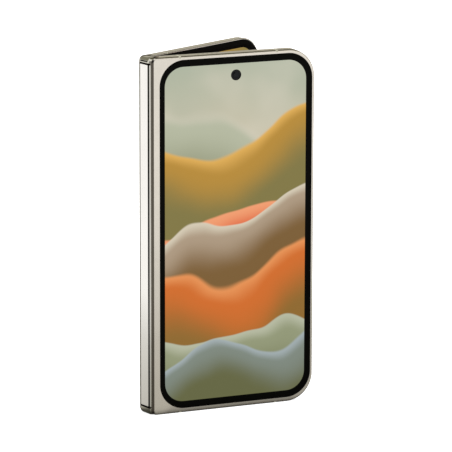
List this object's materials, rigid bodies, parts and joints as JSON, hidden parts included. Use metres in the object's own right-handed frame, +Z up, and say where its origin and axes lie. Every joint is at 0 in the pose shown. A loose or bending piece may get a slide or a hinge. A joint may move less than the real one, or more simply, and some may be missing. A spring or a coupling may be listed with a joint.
{
  "type": "foldable smartphone",
  "caption": "Book-style folding phone with an outer display, a folding inner display and a geared spine hinge, standing slightly open.",
  "frame": {"origin": "midway between the two fold axes, at the bottom end face of the spine", "axes": "+Z up along the fold; +X towards the open edges, in the plane that halves the opening; the half with the outer display on -Y, the camera half on +Y"},
  "size_m": [0.0744, 0.0468, 0.1552],
  "materials": {
    "frame_metal": "satin champagne anodised",
    "spine_metal": "polished pale champagne",
    "hinge_steel": "machined steel",
    "screw_steel": "dark steel",
    "antenna_plastic": "satin plastic",
    "back_glass": "frosted glass",
    "island_metal": "satin",
    "camera_glass": "clear",
    "lens_glass": "coated",
    "camera_black": "matte",
    "flash_plastic": "diffuser",
    "battery_pouch": "foil pouch",
    "circuit_board": "solder mask",
    "copper": "wound wire",
    "port_steel": "drawn steel",
    "module_black": "matte",
    "magnet": "nickel plated",
    "inner_display": "glossy film",
    "bezel_plastic": "soft matte",
    "button_metal": "satin",
    "switch_flex": "polyimide",
    "cover_glass": "polished",
    "cover_display": "lit panel"
  },
  "bodies": {
    "spine": {"spine_cover": "spine_metal", "spine_end_caps": "spine_metal", "hinge_blocks": "hinge_steel", "hinge_shafts": "hinge_steel", "pinion_pins": "hinge_steel", "friction_washers": "hinge_steel", "spine_screws": "screw_steel", "fold_strip": "inner_display", "hinge_flex": "switch_flex"},
    "pinion_rear": {"sync_pinion_rear": "hinge_steel"},
    "pinion_front": {"sync_pinion_front": "hinge_steel"},
    "power_button": {"power_button": "button_metal"},
    "volume_rocker": {"volume_rocker": "button_metal"},
    "sim_tray": {"sim_tray": "button_metal"},
    "front_half": {"front_frame": "frame_metal", "front_wings": "hinge_steel", "front_sync_arm": "hinge_steel", "front_wing_screws": "screw_steel", "front_antenna_breaks": "antenna_plastic", "cover_glass": "cover_glass", "cover_display": "cover_display", "cover_camera": "camera_black", "front_battery": "battery_pouch", "front_board": "circuit_board", "earpiece": "module_black", "vibration_motor": "port_steel", "front_magnets": "magnet", "inner_display_front": "inner_display", "inner_bezel_front": "bezel_plastic"},
    "rear_half": {"rear_frame": "frame_metal", "rear_wings": "hinge_steel", "rear_sync_arm": "hinge_steel", "rear_wing_screws": "screw_steel", "rear_antenna_breaks": "antenna_plastic", "back_glass": "back_glass", "camera_island": "island_metal", "camera_windows": "camera_glass", "camera_lenses": "lens_glass", "camera_barrels": "camera_black", "flash_lens": "flash_plastic", "rear_battery": "battery_pouch", "main_board": "circuit_board", "charging_coil": "copper", "usb_port": "port_steel", "bottom_speaker": "module_black", "rear_magnets": "magnet", "inner_display_rear": "inner_display", "inner_bezel_rear": "bezel_plastic", "inner_camera": "camera_black", "button_switches": "switch_flex"}
  },
  "joints": [
    {"name": "rear_fold", "type": "hinge", "parent": "spine", "child": "rear_half", "pos_m": [0, 0.00145, 0.0776], "axis": [0, 0, 1], "range_deg": [-14.1, 75.9], "deforming": ["fold_strip", "hinge_flex"]},
    {"name": "front_fold", "type": "hinge", "parent": "spine", "child": "front_half", "pos_m": [0, -0.00145, 0.0776], "axis": [0, 0, 1], "range_deg": [-75.9, 14.1]},
    {"name": "pinion_rear_spin", "type": "hinge", "parent": "spine", "child": "pinion_rear", "pos_m": [-0.00134, 0.00065, 0.0776], "axis": [0, 0, 1], "range_deg": [-110, 20]},
    {"name": "pinion_front_spin", "type": "hinge", "parent": "spine", "child": "pinion_front", "pos_m": [-0.00134, -0.00065, 0.0776], "axis": [0, 0, 1], "range_deg": [-20, 110]},
    {"name": "power_press", "type": "slide", "parent": "rear_half", "child": "power_button", "axis": [-0.9699, -0.2436, 0], "range_m": [0, 0.00025], "stiffness_N_per_m": 8000},
    {"name": "volume_rock", "type": "hinge", "parent": "rear_half", "child": "volume_rocker", "pos_m": [0.06922, 0.01997, 0.0925], "axis": [-0.2436, 0.9699, 0], "range_deg": [-1, 1], "stiffness_Nm_per_rad": 4},
    {"name": "sim_tray_slide", "type": "slide", "parent": "front_half", "child": "sim_tray", "axis": [0, 0, -1], "range_m": [0, 0.019]}
  ],
  "couplings": [
    {"joint": "front_fold", "follows": "rear_fold", "ratio": -1},
    {"joint": "pinion_rear_spin", "follows": "rear_fold", "ratio": -1.4},
    {"joint": "pinion_front_spin", "follows": "rear_fold", "ratio": 1.4}
  ]
}
